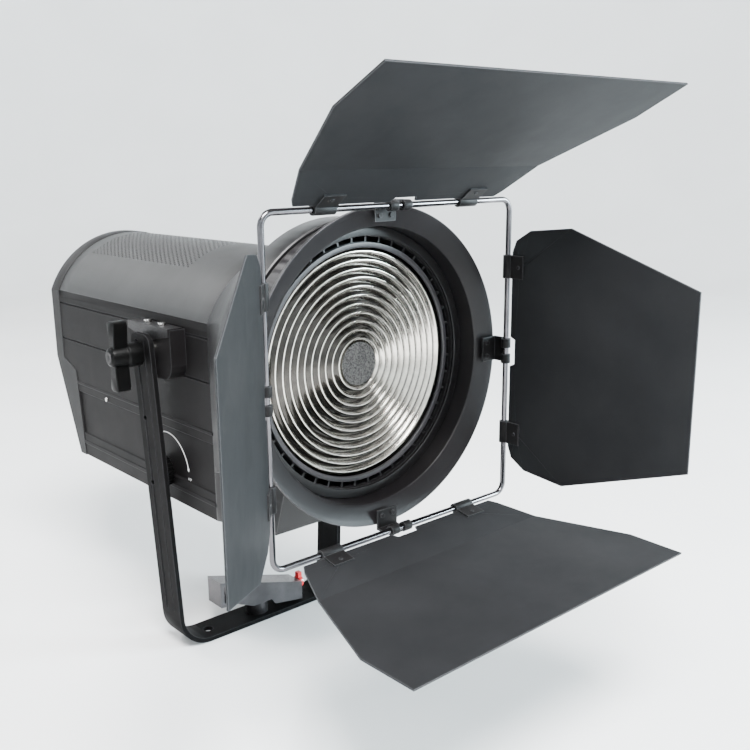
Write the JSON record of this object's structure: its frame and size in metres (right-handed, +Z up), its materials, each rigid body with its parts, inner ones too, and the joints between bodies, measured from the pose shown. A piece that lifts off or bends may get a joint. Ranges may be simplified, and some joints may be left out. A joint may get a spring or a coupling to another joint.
{
  "type": "fresnel spotlight",
  "caption": "Studio LED fresnel spotlight with a focusing carriage, rotating barn door with hinged leaves and a friction-locked yoke with a spigot socket.",
  "frame": {"origin": "centre of the 16 mm spigot socket's mouth, in the underside of the yoke strap", "axes": "+Z up along the socket, the light leaves towards -Y, +X to the right seen from in front; the tilt axis is X at a height of 297 mm"},
  "size_m": [0.4059, 0.6563, 0.5166],
  "materials": {
    "black_metal": "satin black powder coat",
    "black_extrusion": "satin black powder coat on extruded aluminium",
    "black_cover": "satin dark grey powder coat",
    "black_cast": "black coated casting",
    "leaf_sheet": "matt black paint on sheet",
    "cast_alloy": "bare casting",
    "bare_aluminium": "mill finish",
    "grey_metal": "satin grey",
    "plated_steel": "bright zinc plate",
    "chromed_rod": "black chrome",
    "bearing_brass": "machined",
    "black_plastic": "moulded",
    "red_plastic": "moulded",
    "grey_rubber": "moulded",
    "circuit_board": "solder mask",
    "led_phosphor": "phosphor over ceramic",
    "smoked_window": "polished",
    "clear_glass": "pressed glass"
  },
  "bodies": {
    "yoke": {"yoke": "black_extrusion", "spigot_receiver": "cast_alloy", "friction_washers": "plated_steel", "pivot_bolt": "plated_steel"},
    "receiver_screw": {"receiver_screw": "plated_steel", "receiver_lever": "red_plastic"},
    "tilt_knob": {"tilt_knob": "black_plastic", "tilt_stud": "plated_steel"},
    "head": {"top_cover": "black_cover", "bottom_pan": "black_metal", "side_panel_right": "black_extrusion", "side_panel_left": "black_extrusion", "pivot_block_right": "black_extrusion", "pivot_block_left": "black_extrusion", "tilt_stop_right": "plated_steel", "tilt_stop_left": "plated_steel", "front_bulkhead": "bare_aluminium", "rear_bulkhead": "bare_aluminium", "rear_bezel": "black_cover", "rear_panel": "black_metal", "display_window": "smoked_window", "connector_panel": "black_metal", "power_inlet": "black_plastic", "switch_housing": "black_plastic", "signal_sockets": "plated_steel", "control_board": "circuit_board", "case_screws": "plated_steel", "power_supply": "bare_aluminium", "front_casting": "black_cast", "lens_holder": "black_cast", "fresnel_lens": "clear_glass", "lens_retainer": "grey_metal", "ring_keeper": "black_cast", "guide_rods": "plated_steel"},
    "carriage": {"carriage_plate": "bare_aluminium", "carriage_bushes": "bearing_brass", "led_module": "led_phosphor", "heat_sink": "bare_aluminium", "fan_frame": "black_plastic", "focus_rack": "bearing_brass"},
    "fan": {"fan_rotor": "black_plastic"},
    "focus_drive": {"focus_pinion": "bearing_brass", "focus_shaft": "plated_steel", "focus_knob": "black_plastic"},
    "rocker": {"power_rocker": "red_plastic"},
    "dimmer": {"dimmer_knob": "black_plastic"},
    "button_left": {"menu_button_left": "grey_rubber"},
    "button_middle": {"menu_button_middle": "grey_rubber"},
    "button_right": {"menu_button_right": "grey_rubber"},
    "barn_door": {"door_ring": "black_cast", "rod_frame": "chromed_rod", "ring_tabs": "black_metal"},
    "door_top": {"leaf_top": "leaf_sheet", "leaf_top_clips": "black_metal"},
    "door_right": {"leaf_right": "leaf_sheet", "leaf_right_clips": "black_metal"},
    "door_bottom": {"leaf_bottom": "leaf_sheet", "leaf_bottom_clips": "black_metal"},
    "door_left": {"leaf_left": "leaf_sheet", "leaf_left_clips": "black_metal"}
  },
  "joints": [
    {"name": "head_tilt", "type": "hinge", "parent": "yoke", "child": "head", "pos_m": [0, 0, 0.297], "axis": [1, 0, 0], "range_deg": [-45, 40]},
    {"name": "tilt_knob_turn", "type": "hinge", "parent": "yoke", "child": "tilt_knob", "pos_m": [0, 0, 0.297], "axis": [1, 0, 0], "range_deg": [-180, 180]},
    {"name": "receiver_screw_turn", "type": "hinge", "parent": "yoke", "child": "receiver_screw", "pos_m": [0, 0, 0.02], "axis": [1, 0, 0], "range_deg": [-180, 180]},
    {"name": "focus_turn", "type": "hinge", "parent": "head", "child": "focus_drive", "pos_m": [0, 0.008, 0.179], "axis": [1, 0, 0], "range_deg": [-100, 100]},
    {"name": "carriage_slide", "type": "slide", "parent": "head", "child": "carriage", "axis": [0, 1, 0], "range_m": [-0.026, 0.026]},
    {"name": "fan_spin", "type": "hinge", "parent": "carriage", "child": "fan", "pos_m": [0, 0.05, 0.297], "axis": [0, 1, 0], "continuous": true},
    {"name": "power_rock", "type": "hinge", "parent": "head", "child": "rocker", "pos_m": [0.012, 0.22606, 0.21002], "axis": [1, 0, 0], "range_deg": [0, 20]},
    {"name": "dimmer_turn", "type": "hinge", "parent": "head", "child": "dimmer", "pos_m": [0.046, 0.24, 0.283], "axis": [0, 1, 0], "range_deg": [-150, 150]},
    {"name": "door_turn", "type": "hinge", "parent": "head", "child": "barn_door", "pos_m": [0, -0.19, 0.297], "axis": [0, 1, 0], "range_deg": [-90, 90]},
    {"name": "button_left_press", "type": "slide", "parent": "head", "child": "button_left", "axis": [0, -1, 0], "range_m": [0, 0.0012], "stiffness_N_per_m": 400, "springref_m": -0.0004},
    {"name": "button_middle_press", "type": "slide", "parent": "head", "child": "button_middle", "axis": [0, -1, 0], "range_m": [0, 0.0012], "stiffness_N_per_m": 400, "springref_m": -0.0004},
    {"name": "button_right_press", "type": "slide", "parent": "head", "child": "button_right", "axis": [0, -1, 0], "range_m": [0, 0.0012], "stiffness_N_per_m": 400, "springref_m": -0.0004},
    {"name": "leaf_top_fold", "type": "hinge", "parent": "barn_door", "child": "door_top", "pos_m": [0, -0.2208, 0.43], "axis": [-1, 0, 0], "range_deg": [-45.4, 42.6]},
    {"name": "leaf_right_fold", "type": "hinge", "parent": "barn_door", "child": "door_right", "pos_m": [0.13, -0.2208, 0.297], "axis": [0, 0, 1], "range_deg": [-40, 80]},
    {"name": "leaf_bottom_fold", "type": "hinge", "parent": "barn_door", "child": "door_bottom", "pos_m": [0, -0.2208, 0.164], "axis": [1, 0, 0], "range_deg": [-19.5, 68.5]},
    {"name": "leaf_left_fold", "type": "hinge", "parent": "barn_door", "child": "door_left", "pos_m": [-0.13, -0.2208, 0.297], "axis": [0, 0, -1], "range_deg": [-82.3, 37.7]}
  ],
  "couplings": [
    {"joint": "focus_turn", "follows": "carriage_slide", "rad_per_m": -66.667}
  ]
}
